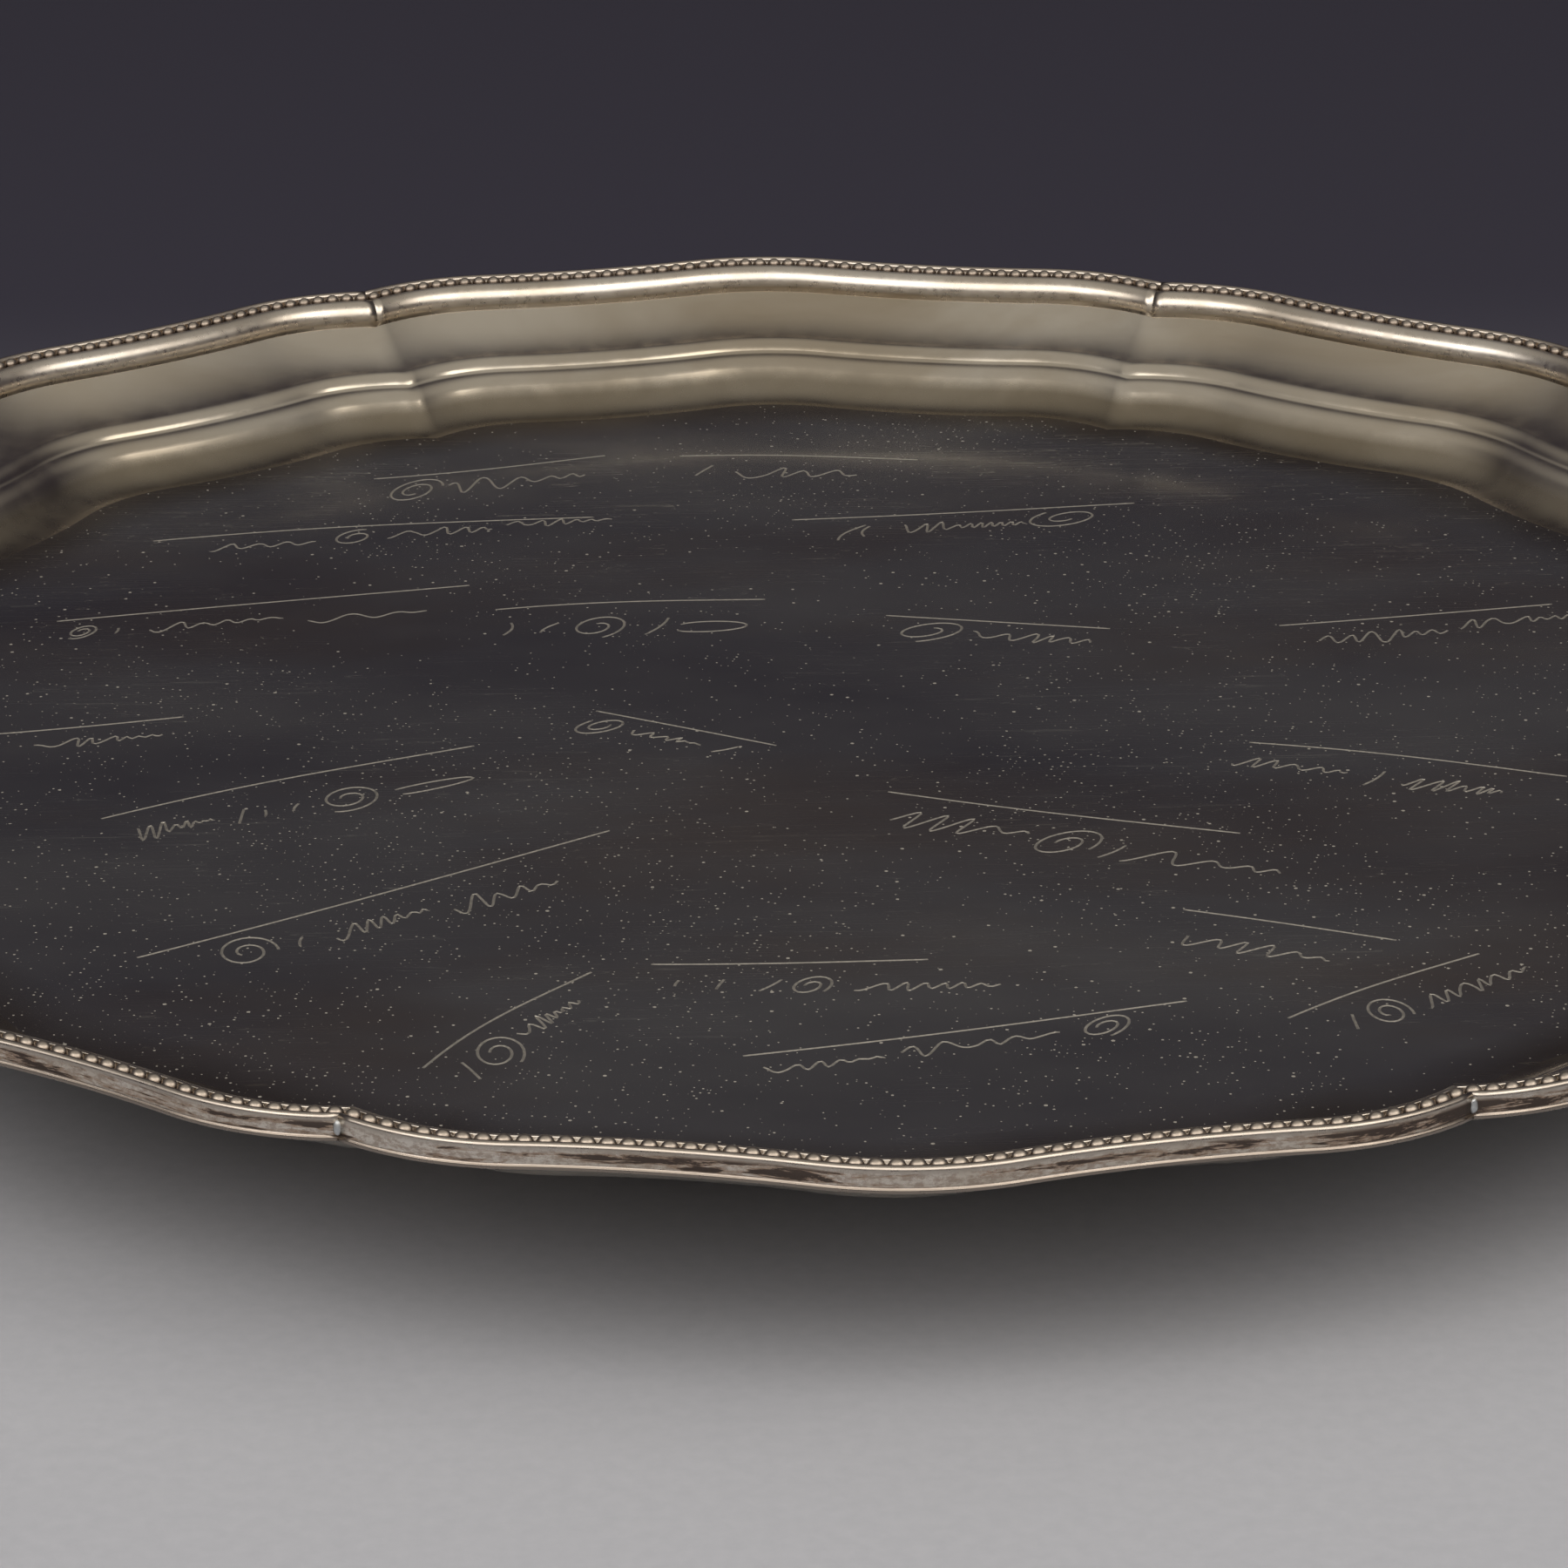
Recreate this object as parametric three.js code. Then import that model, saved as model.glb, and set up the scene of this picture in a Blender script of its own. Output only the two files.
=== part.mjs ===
// Footed silver salver: a raised sheet body, a beaded border applied in eight cast sections,
// and three cast feet. Millimetres, +Z up, origin on the resting surface at the centre.
import * as THREE from 'three';

const DEGREE = Math.PI / 180;

// Plan outline: bracket-shaped sections that meet in small notches called mitres.
const SECTION_COUNT = 8;
const OUTER_RADIUS = 152.5;
const CREST_RADIUS = 35.2;
const CREST_TURN = 17.2 * DEGREE;
const HOLLOW_RADIUS = 140.6;
const HOLLOW_END_TURN = 4.93 * DEGREE;
const SHOULDER_RADIUS = 30.1;

// Applied border: a plain band outside, a row of beads in a channel, a quarter round inside.
const BAND_HEIGHT = 2.9;
const BAND_BULGE = 0.12;
const LIP_PROJECTION = 0.25;
const LIP_HEIGHT = 0.45;
const RIDGE_WIDTH = 0.95;
const RIDGE_DROP = 0.1;
const CHANNEL_DEPTH = 1.1;
const BEAD_DIAMETER = 1.65;
const BEAD_CLEARANCE = 0.12;
const QUARTER_ROUND_WIDTH = 2;
const QUARTER_ROUND_HEIGHT = 2.45;
const QUARTER_ROUND_DROP = 0.62;
const QUARTER_ROUND_STEP = 0.45;
const REBATE_INSET = 0.9;

// Raised sheet: flange under the border, then two coves with a double roll between them.
const SHEET_THICKNESS = 1;
const FLANGE_DROP = 1.87;
const FLANGE_BEND_RADIUS = 1.2;
const UPPER_COVE_RADIUS = 23.4;
const UPPER_COVE_START = 42 * DEGREE;
const UPPER_COVE_END = 11 * DEGREE;
const LEDGE_WIDTH = 0.5;
const LEDGE_SLOPE = 8 * DEGREE;
const UPPER_ROLL_RADIUS = 3;
const UPPER_ROLL_END = 55 * DEGREE;
const GROOVE_RADIUS = 1;
const GROOVE_END = 8 * DEGREE;
const LOWER_ROLL_RADIUS = 3.8;
const LOWER_ROLL_END = 50 * DEGREE;
const LOWER_COVE_RADIUS = 9;

// Feet: a flat pad against the sheet, a bulging knee, a thin ankle and a round toe.
const FOOT_COUNT = 3;
const FOOT_CIRCLE_RADIUS = 87.5;
const FOOT_HEIGHT = 15.75;
const PAD_LENGTH = 22;
const PAD_WIDTH = 18;
const PAD_THICKNESS = 0.9;
const SHOULDER_LENGTH = 19;
const SHOULDER_WIDTH = 15.5;
const KNEE_HEIGHT = 11;
const KNEE_OFFSET = 1.1;
const KNEE_LENGTH = 12;
const KNEE_WIDTH = 12.6;
const ANKLE_HEIGHT = 5.6;
const ANKLE_OFFSET = 2.2;
const ANKLE_DIAMETER = 5.6;
const TOE_HEIGHT = 1.9;
const TOE_OFFSET = 4.6;
const TOE_LENGTH = 9.6;
const TOE_WIDTH = 8.8;
const SOLE_LENGTH = 8.2;
const SOLE_WIDTH = 7.6;

// Clearances between pieces that are soldered together.
const MOUNT_GAP = 0.3;
const MITRE_GAP = 0.3;
const COVE_CLEARANCE = 0.5;

// Facet counts.
const CREST_STEPS = 2;
const HOLLOW_STEPS = 3;
const SHOULDER_STEPS = 2;
const FLANGE_BEND_STEPS = 2;
const UPPER_COVE_STEPS = 4;
const ROLL_STEPS = 2;
const GROOVE_STEPS = 1;
const LOWER_COVE_STEPS = 3;
const BEAD_TURNS = [30 * DEGREE, 90 * DEGREE, 150 * DEGREE];
const QUARTER_ROUND_STEPS = 3;
const FOOT_SIDES = 16;
const FOOT_LEVELS = 12;

// Sizes that follow from the ones above.
const HALF_SECTION = Math.PI / SECTION_COUNT;
const CHANNEL_START = LIP_PROJECTION + RIDGE_WIDTH;
const BEAD_ROW_INSET = CHANNEL_START + (BEAD_DIAMETER + BEAD_CLEARANCE) / 2;
const QUARTER_ROUND_START = CHANNEL_START + BEAD_DIAMETER + 2 * BEAD_CLEARANCE;
const BORDER_WIDTH = QUARTER_ROUND_START + QUARTER_ROUND_WIDTH;
const BORDER_DEPTH = QUARTER_ROUND_DROP + QUARTER_ROUND_HEIGHT + QUARTER_ROUND_STEP;
const SHEET_EDGE_INSET = REBATE_INSET + MOUNT_GAP;
const FLANGE_WIDTH = flangeWidth();
const BEND_CENTRE_INSET = SHEET_EDGE_INSET + FLANGE_WIDTH;
const BEND_CENTRE_DROP = FLANGE_DROP + FLANGE_BEND_RADIUS;

// The flange ends where its bend and the straight start of the cove clear the border's inner foot.
function flangeWidth() {
  const sine = Math.sin(UPPER_COVE_START);
  const cosine = Math.cos(UPPER_COVE_START);
  const bendEndDrop = FLANGE_DROP + FLANGE_BEND_RADIUS * (1 - cosine);
  const passingInset = BORDER_WIDTH - COVE_CLEARANCE * sine;
  const passingDrop = BORDER_DEPTH + COVE_CLEARANCE * cosine;
  const bendEndInset = passingInset - (passingDrop - bendEndDrop) * cosine / sine;
  return bendEndInset - FLANGE_BEND_RADIUS * sine - SHEET_EDGE_INSET;
}

// Half of one section, from its crest to the mitre, as [across, outward] pairs. The inset is
// measured square to the outline; the clearance moves the last point back from the mitre.
function halfSection(inset, mitreClearance) {
  const crest = CREST_RADIUS - inset;
  const hollow = HOLLOW_RADIUS + inset;
  const shoulder = SHOULDER_RADIUS - inset;
  const crestCentre = OUTER_RADIUS - CREST_RADIUS;
  const hollowAcross = (CREST_RADIUS + HOLLOW_RADIUS) * Math.sin(CREST_TURN);
  const hollowOut = crestCentre + (CREST_RADIUS + HOLLOW_RADIUS) * Math.cos(CREST_TURN);
  const shoulderReach = HOLLOW_RADIUS + SHOULDER_RADIUS;
  const shoulderAcross = hollowAcross - shoulderReach * Math.sin(HOLLOW_END_TURN);
  const shoulderOut = hollowOut - shoulderReach * Math.cos(HOLLOW_END_TURN);
  const sine = Math.sin(HALF_SECTION);
  const cosine = Math.cos(HALF_SECTION);
  const centreToMitre = shoulderOut * sine - shoulderAcross * cosine - mitreClearance;
  const mitreTurn = HALF_SECTION + Math.asin(centreToMitre / shoulder);
  const points = [];
  for (let step = 0; step < CREST_STEPS; step += 1) {
    const turn = CREST_TURN * step / CREST_STEPS;
    points.push([crest * Math.sin(turn), crestCentre + crest * Math.cos(turn)]);
  }
  for (let step = 0; step < HOLLOW_STEPS; step += 1) {
    const turn = THREE.MathUtils.lerp(CREST_TURN, HOLLOW_END_TURN, step / HOLLOW_STEPS);
    points.push([hollowAcross - hollow * Math.sin(turn), hollowOut - hollow * Math.cos(turn)]);
  }
  for (let step = 0; step <= SHOULDER_STEPS; step += 1) {
    const turn = THREE.MathUtils.lerp(HOLLOW_END_TURN, mitreTurn, step / SHOULDER_STEPS);
    points.push([shoulderAcross + shoulder * Math.sin(turn), shoulderOut + shoulder * Math.cos(turn)]);
  }
  return points;
}

// A whole section counter-clockwise, from mitre to mitre, about its crest direction.
function sectionOutline(section, inset, mitreClearance) {
  const half = halfSection(inset, mitreClearance);
  const mirrored = half.slice(1).reverse().map(([across, out]) => [-across, out]);
  const angle = 2 * HALF_SECTION * section;
  return [...mirrored, ...half].map(([across, out]) => new THREE.Vector2(
    out * Math.cos(angle) - across * Math.sin(angle),
    out * Math.sin(angle) + across * Math.cos(angle),
  ));
}

// The closed outline at an inset. Inside the border the inset is measured towards the centre,
// so the coves and rolls keep the notches of the outline.
function ringOutline(inset) {
  const squareInset = Math.min(inset, BORDER_WIDTH);
  const ring = [];
  for (let section = 0; section < SECTION_COUNT; section += 1) {
    ring.push(...sectionOutline(section, squareInset, 0).slice(0, -1));
  }
  const radialInset = inset - squareInset;
  return ring.map((point) => point.setLength(point.length() - radialInset));
}

// The sheet's upper line as [inset, drop, slope]: drop is measured down from the bead tops.
function rimLine() {
  const line = [[SHEET_EDGE_INSET, FLANGE_DROP, 0]];
  const forward = (length, slope) => {
    const [inset, drop] = line.at(-1);
    line.push([inset + length * Math.cos(slope), drop + length * Math.sin(slope), slope]);
  };
  const arc = (radius, start, end, steps) => {
    const [inset, drop] = line.at(-1);
    const side = Math.sign(end - start) * radius;
    for (let step = 1; step <= steps; step += 1) {
      const slope = THREE.MathUtils.lerp(start, end, step / steps);
      const along = side * (Math.sin(slope) - Math.sin(start));
      const down = side * (Math.cos(start) - Math.cos(slope));
      line.push([inset + along, drop + down, slope]);
    }
  };
  forward(FLANGE_WIDTH, 0);
  arc(FLANGE_BEND_RADIUS, 0, UPPER_COVE_START, FLANGE_BEND_STEPS);
  arc(UPPER_COVE_RADIUS, UPPER_COVE_START, UPPER_COVE_END, UPPER_COVE_STEPS);
  forward(LEDGE_WIDTH, LEDGE_SLOPE);
  arc(UPPER_ROLL_RADIUS, LEDGE_SLOPE, UPPER_ROLL_END, ROLL_STEPS);
  arc(GROOVE_RADIUS, UPPER_ROLL_END, GROOVE_END, GROOVE_STEPS);
  arc(LOWER_ROLL_RADIUS, GROOVE_END, LOWER_ROLL_END, ROLL_STEPS);
  arc(LOWER_COVE_RADIUS, LOWER_ROLL_END, 0, LOWER_COVE_STEPS);
  return line;
}

const RIM_LINE = rimLine();
const RIM_DEPTH = RIM_LINE.at(-1)[1];
const FIELD_HEIGHT = FOOT_HEIGHT + MOUNT_GAP + SHEET_THICKNESS;
const BEAD_TOP_HEIGHT = FIELD_HEIGHT + RIM_DEPTH;

function geometryFrom(points, triangles) {
  const geometry = new THREE.BufferGeometry();
  const positions = points.flatMap((point) => [point.x, point.y, point.z]);
  geometry.setAttribute('position', new THREE.Float32BufferAttribute(positions, 3));
  geometry.setIndex(triangles.flat());
  geometry.computeVertexNormals();
  return geometry;
}

// Closed skin from a first point, through rings of equal count, to a last point. The rings run
// counter-clockwise seen from above, and the skin goes over the top and then underneath.
function skinOver(firstPoint, rings, lastPoint) {
  const count = rings[0].length;
  const points = [firstPoint, ...rings.flat(), lastPoint];
  const last = points.length - 1;
  const triangles = [];
  for (let column = 0; column < count; column += 1) {
    const next = (column + 1) % count;
    triangles.push([0, 1 + column, 1 + next]);
    for (let ring = 0; ring < rings.length - 1; ring += 1) {
      const inner = 1 + ring * count;
      const outer = inner + count;
      triangles.push([inner + column, outer + column, outer + next]);
      triangles.push([inner + column, outer + next, inner + next]);
    }
    triangles.push([last, last - count + next, last - count + column]);
  }
  return geometryFrom(points, triangles);
}

function heightAt(drop) {
  return BEAD_TOP_HEIGHT - drop;
}

function ringAt(inset, drop) {
  return ringOutline(inset).map((point) => new THREE.Vector3(point.x, point.y, heightAt(drop)));
}

function plateGeometry() {
  const top = RIM_LINE.map(([inset, drop]) => ringAt(inset, drop)).reverse();
  const underside = RIM_LINE.map(([inset, drop, slope]) => ringAt(
    inset - SHEET_THICKNESS * Math.sin(slope),
    drop + SHEET_THICKNESS * Math.cos(slope),
  ));
  const topCentre = new THREE.Vector3(0, 0, FIELD_HEIGHT);
  const undersideCentre = new THREE.Vector3(0, 0, FIELD_HEIGHT - SHEET_THICKNESS);
  return skinOver(topCentre, [...top, ...underside], undersideCentre);
}

// Cross-section of the border as [inset, drop], up the band, over the beads and back underneath.
function borderProfile() {
  const lipTop = BAND_HEIGHT - LIP_HEIGHT;
  const profile = [
    [0, BAND_HEIGHT],
    [0, lipTop],
    [LIP_PROJECTION, lipTop - LIP_PROJECTION / 2],
    [LIP_PROJECTION - BAND_BULGE, lipTop / 2],
    [LIP_PROJECTION, RIDGE_DROP + RIDGE_WIDTH / 3],
    [LIP_PROJECTION + RIDGE_WIDTH / 2, RIDGE_DROP],
    [CHANNEL_START, RIDGE_DROP + RIDGE_WIDTH / 3],
    [CHANNEL_START, CHANNEL_DEPTH],
  ];
  const beadRadius = BEAD_DIAMETER / 2;
  for (const turn of BEAD_TURNS) {
    const inset = BEAD_ROW_INSET - beadRadius * Math.cos(turn);
    profile.push([inset, beadRadius - beadRadius * Math.sin(turn)]);
  }
  profile.push([QUARTER_ROUND_START, CHANNEL_DEPTH]);
  for (let step = 0; step <= QUARTER_ROUND_STEPS; step += 1) {
    const turn = Math.PI / 2 * step / QUARTER_ROUND_STEPS;
    const inset = QUARTER_ROUND_START + QUARTER_ROUND_WIDTH * Math.sin(turn);
    const rise = QUARTER_ROUND_HEIGHT * Math.cos(turn);
    profile.push([inset, QUARTER_ROUND_DROP + QUARTER_ROUND_HEIGHT - rise]);
  }
  profile.push([BORDER_WIDTH, BORDER_DEPTH]);
  const bendRadius = FLANGE_BEND_RADIUS + MOUNT_GAP;
  for (let step = FLANGE_BEND_STEPS; step >= 0; step -= 1) {
    const turn = UPPER_COVE_START * step / FLANGE_BEND_STEPS;
    profile.push([
      BEND_CENTRE_INSET + bendRadius * Math.sin(turn),
      BEND_CENTRE_DROP - bendRadius * Math.cos(turn),
    ]);
  }
  profile.push([REBATE_INSET, FLANGE_DROP - MOUNT_GAP]);
  profile.push([REBATE_INSET, BAND_HEIGHT]);
  return profile;
}

function borderGeometry(section) {
  const profile = borderProfile();
  const lines = profile.map(([inset, drop]) => sectionOutline(section, inset, MITRE_GAP / 2)
    .map((point) => new THREE.Vector3(point.x, point.y, heightAt(drop))));
  const rows = profile.length;
  const columns = lines[0].length;
  const points = [];
  for (let column = 0; column < columns; column += 1) {
    points.push(...lines.map((line) => line[column]));
  }
  const triangles = [];
  for (let column = 0; column < columns - 1; column += 1) {
    for (let row = 0; row < rows; row += 1) {
      const here = column * rows;
      const ahead = here + rows;
      const next = (row + 1) % rows;
      triangles.push([here + row, ahead + row, ahead + next]);
      triangles.push([here + row, ahead + next, here + next]);
    }
  }
  const contour = profile.map(([inset, drop]) => new THREE.Vector2(-inset, -drop));
  const lastColumn = (columns - 1) * rows;
  for (const [a, b, c] of THREE.ShapeUtils.triangulateShape(contour, [])) {
    triangles.push([a, b, c]);
    triangles.push([lastColumn + a, lastColumn + c, lastColumn + b]);
  }
  return geometryFrom(points, triangles);
}

// Level stations of a foot, from the pad down: [height, outward offset, length, width].
function footStations() {
  return [
    [FOOT_HEIGHT - PAD_THICKNESS, 0, SHOULDER_LENGTH, SHOULDER_WIDTH],
    [KNEE_HEIGHT, KNEE_OFFSET, KNEE_LENGTH, KNEE_WIDTH],
    [ANKLE_HEIGHT, ANKLE_OFFSET, ANKLE_DIAMETER, ANKLE_DIAMETER],
    [TOE_HEIGHT, TOE_OFFSET, TOE_LENGTH, TOE_WIDTH],
    [0, TOE_OFFSET, SOLE_LENGTH, SOLE_WIDTH],
  ];
}

function footGeometry() {
  const level = ([height, offset, length, width]) => {
    const ring = [];
    for (let side = 0; side < FOOT_SIDES; side += 1) {
      const turn = 2 * Math.PI * side / FOOT_SIDES;
      ring.push(new THREE.Vector3(
        offset + length / 2 * Math.cos(turn),
        width / 2 * Math.sin(turn),
        height,
      ));
    }
    return ring;
  };
  const stations = footStations();
  const smooth = (column) => new THREE.SplineCurve(
    stations.map((station, index) => new THREE.Vector2(index, station[column])),
  );
  const curves = [0, 1, 2, 3].map(smooth);
  const rings = [
    level([FOOT_HEIGHT, 0, PAD_LENGTH, PAD_WIDTH]),
    level([FOOT_HEIGHT - PAD_THICKNESS, 0, PAD_LENGTH, PAD_WIDTH]),
  ];
  for (let step = 0; step <= FOOT_LEVELS; step += 1) {
    rings.push(level(curves.map((curve) => curve.getPoint(step / FOOT_LEVELS).y)));
  }
  const top = new THREE.Vector3(0, 0, FOOT_HEIGHT);
  const bottom = new THREE.Vector3(TOE_OFFSET, 0, 0);
  return skinOver(top, rings, bottom);
}

function silver(color, roughness) {
  return new THREE.MeshStandardMaterial({ color, roughness, metalness: 1 });
}

function makePlate() {
  const plate = new THREE.Mesh(plateGeometry(), silver('#8f8a80', 0.18));
  plate.name = 'plate';
  return plate;
}

function makeBorderSection(section) {
  const border = new THREE.Mesh(borderGeometry(section), silver('#c9bba6', 0.25));
  border.name = `border_section_${section + 1}`;
  return border;
}

function makeFoot(index) {
  const foot = new THREE.Mesh(footGeometry(), silver('#a89b88', 0.3));
  foot.name = `foot_${index + 1}`;
  foot.position.x = FOOT_CIRCLE_RADIUS;
  const arm = new THREE.Group();
  arm.rotation.z = 2 * Math.PI * index / FOOT_COUNT;
  arm.add(foot);
  return arm;
}

function makeSalver() {
  const salver = new THREE.Group();
  salver.add(makePlate());
  for (let section = 0; section < SECTION_COUNT; section += 1) {
    salver.add(makeBorderSection(section));
  }
  for (let index = 0; index < FOOT_COUNT; index += 1) {
    salver.add(makeFoot(index));
  }
  return salver;
}

export default makeSalver();
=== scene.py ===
"""Footed silver salver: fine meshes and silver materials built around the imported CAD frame."""
import math

import bpy
import numpy as np
from mathutils import Matrix, Vector
from mathutils.geometry import delaunay_2d_cdt, tessellate_polygon
from mathutils.kdtree import KDTree


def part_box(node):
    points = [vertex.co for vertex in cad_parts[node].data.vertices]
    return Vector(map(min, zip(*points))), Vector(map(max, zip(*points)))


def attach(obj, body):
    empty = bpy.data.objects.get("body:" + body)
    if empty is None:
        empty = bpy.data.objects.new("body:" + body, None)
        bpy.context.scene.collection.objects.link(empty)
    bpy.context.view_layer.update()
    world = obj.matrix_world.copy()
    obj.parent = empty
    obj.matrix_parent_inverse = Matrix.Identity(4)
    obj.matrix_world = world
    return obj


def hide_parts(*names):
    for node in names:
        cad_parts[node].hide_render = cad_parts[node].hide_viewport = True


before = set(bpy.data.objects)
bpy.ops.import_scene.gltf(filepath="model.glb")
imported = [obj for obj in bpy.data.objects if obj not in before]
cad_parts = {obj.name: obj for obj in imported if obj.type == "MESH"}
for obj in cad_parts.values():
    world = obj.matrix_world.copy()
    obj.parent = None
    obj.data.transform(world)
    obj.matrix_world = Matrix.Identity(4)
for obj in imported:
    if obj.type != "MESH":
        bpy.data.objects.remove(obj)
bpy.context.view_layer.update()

MM = 0.001
DEGREE = math.pi / 180

# ---------------------------------------------------------------- sizes, in millimetres

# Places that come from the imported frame.
OUTER_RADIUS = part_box("border_section_1")[1].x / MM
BEAD_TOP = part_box("border_section_1")[1].z / MM
SHEET_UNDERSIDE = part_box("plate")[0].z / MM
FOOT_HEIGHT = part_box("foot_1")[1].z / MM

# Plan outline: bracket sections that meet in mitres. Each triple of steps counts the facets of
# half a section: its crest, hollow and shoulder.
SECTION_COUNT = 8
HALF_SECTION = math.pi / SECTION_COUNT
CREST_RADIUS = 35.2
CREST_TURN = 17.2 * DEGREE
HOLLOW_RADIUS = 140.6
HOLLOW_END_TURN = 4.93 * DEGREE
SHOULDER_RADIUS = 30.1
PLATE_STEPS = (10, 16, 10)
BORDER_STEPS = (12, 16, 12)
BEAD_ROW_STEPS = (40, 60, 40)
CUSP_STEPS = (4, 4, 4)

# Applied border: a plain band outside, a row of beads in a channel, a quarter round inside. A bead
# fills a share of its pitch and faces the point of the row that is BEAD_AIM further on.
BAND_HEIGHT = 2.9
BAND_BULGE = 0.12
LIP_PROJECTION = 0.25
LIP_HEIGHT = 0.45
RIDGE_WIDTH = 0.95
RIDGE_DROP = 0.1
CHANNEL_DEPTH = 1.1
BEAD_DIAMETER = 1.65
BEAD_CLEARANCE = 0.12
BEADS_PER_SECTION = 57
BEAD_FILL = 0.94
BEAD_AIM = 0.2
QUARTER_ROUND_WIDTH = 2.0
QUARTER_ROUND_HEIGHT = 2.45
QUARTER_ROUND_DROP = 0.62
QUARTER_ROUND_STEP = 0.45
REBATE_INSET = 0.9
EDGE_EASE = 0.08
LIP_EASE = 0.06
LIP_STEP = 0.1
CHANNEL_LEAN = 0.02
CHANNEL_CORNER = 0.14
CHANNEL_CORNER_RISE = 0.12
CHANNEL_START = LIP_PROJECTION + RIDGE_WIDTH
BEAD_ROW_INSET = CHANNEL_START + (BEAD_DIAMETER + BEAD_CLEARANCE) / 2
QUARTER_ROUND_START = CHANNEL_START + BEAD_DIAMETER + 2 * BEAD_CLEARANCE
BORDER_WIDTH = QUARTER_ROUND_START + QUARTER_ROUND_WIDTH
BORDER_DEPTH = QUARTER_ROUND_DROP + QUARTER_ROUND_HEIGHT + QUARTER_ROUND_STEP

# Gaps between soldered pieces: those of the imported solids, and the finer ones that show.
MOUNT_GAP = 0.3
COVE_CLEARANCE = 0.5
VISUAL_MITRE_GAP = 0.03
SEAT_GAP = 0.08

# Raised sheet: flange under the border, then two coves with a double roll between them.
SHEET_THICKNESS = 1.0
SHEET_EDGE_INSET = REBATE_INSET + MOUNT_GAP
FLANGE_DROP = 1.87
FLANGE_BEND_RADIUS = 1.2
UPPER_COVE_RADIUS = 23.4
UPPER_COVE_START = 42 * DEGREE
UPPER_COVE_END = 11 * DEGREE
LEDGE_WIDTH = 0.5
LEDGE_SLOPE = 8 * DEGREE
UPPER_ROLL_RADIUS = 3.0
UPPER_ROLL_END = 55 * DEGREE
GROOVE_RADIUS = 1.0
GROOVE_END = 8 * DEGREE
LOWER_ROLL_RADIUS = 3.8
LOWER_ROLL_END = 50 * DEGREE
LOWER_COVE_RADIUS = 9.0
FLANGE_WIDTH = (
    BORDER_WIDTH - SHEET_EDGE_INSET - (COVE_CLEARANCE + FLANGE_BEND_RADIUS) * math.sin(UPPER_COVE_START)
    - (BORDER_DEPTH + COVE_CLEARANCE * math.cos(UPPER_COVE_START) - FLANGE_DROP
       - FLANGE_BEND_RADIUS * (1 - math.cos(UPPER_COVE_START))) / math.tan(UPPER_COVE_START)
)
FIELD_HEIGHT = SHEET_UNDERSIDE + SHEET_THICKNESS

# The "along" UV map, in millimetres: u is the distance along a border section and v the distance
# across a piece. Sections are SECTION_U apart, so their wear differs, and the sheet's underside and
# the beads have a v of their own.
SECTION_U = 120.0
UNDERSIDE_V = 60.0
BEAD_V = 20.0
ON_BEAD_FROM = 15.0

# The field's slight rise towards its edge, made by bump: its first radius, width and height.
DISH_START = 104.0
DISH_WIDTH = 22.0
DISH_RISE = 1.7

# Engraved marks: a shallow V groove, the spacing of its points and of the centre line's finer
# ones, how near two points are the same, and the opening that keeps an outline's ends apart.
CUT_HALF_WIDTH = 0.17
CUT_DEPTH = 0.07
STROKE_STEP = 0.55
FINE_STEP = 0.04
SAME_POINT = 1e-5
OUTLINE_OPENING = 1e-4

# Solder in a mitre: half sizes outwards, along and up, its place, and how uneven it is.
SOLDER_HALF_SIZE = (0.36, 0.46, 0.85)
SOLDER_INSET = 0.15
SOLDER_DROP = 1.45
SOLDER_LUMPS = 0.12

# Feet. A station is a share of the height under the pad, an outward offset, a length and a width.
FOOT_COUNT = 3
PAD_THICKNESS = 0.9
PAD_HALF_LENGTH = 10.6
PAD_HALF_WIDTH = 8.6
PAD_SCALLOPS = 8
PAD_SCALLOP_DEPTH = 0.035
PAD_CHAMFER = 0.2
SOLDER_SEAM = 0.02
KNEE_FLUTES = 7
KNEE_FLUTE_DEPTH = 0.05
KNEE_SHARE = 0.72
KNEE_SPREAD = 0.16
FOOT_SIDES = 48
FOOT_LEVELS = 44
FOOT_STATIONS = np.array([
    (1.00, 0.0, 20.4, 16.4),
    (0.93, 0.0, 18.6, 15.2),
    (0.82, 0.5, 14.2, 13.6),
    (0.70, 1.1, 12.0, 12.6),
    (0.55, 1.7, 9.0, 9.2),
    (0.36, 2.2, 5.6, 5.6),
    (0.24, 3.2, 6.4, 6.0),
    (0.12, 4.6, 9.6, 8.8),
    (0.05, 4.6, 9.4, 8.6),
    (0.00, 4.6, 8.2, 7.5),
])


# ---------------------------------------------------------------- plan outline

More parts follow.
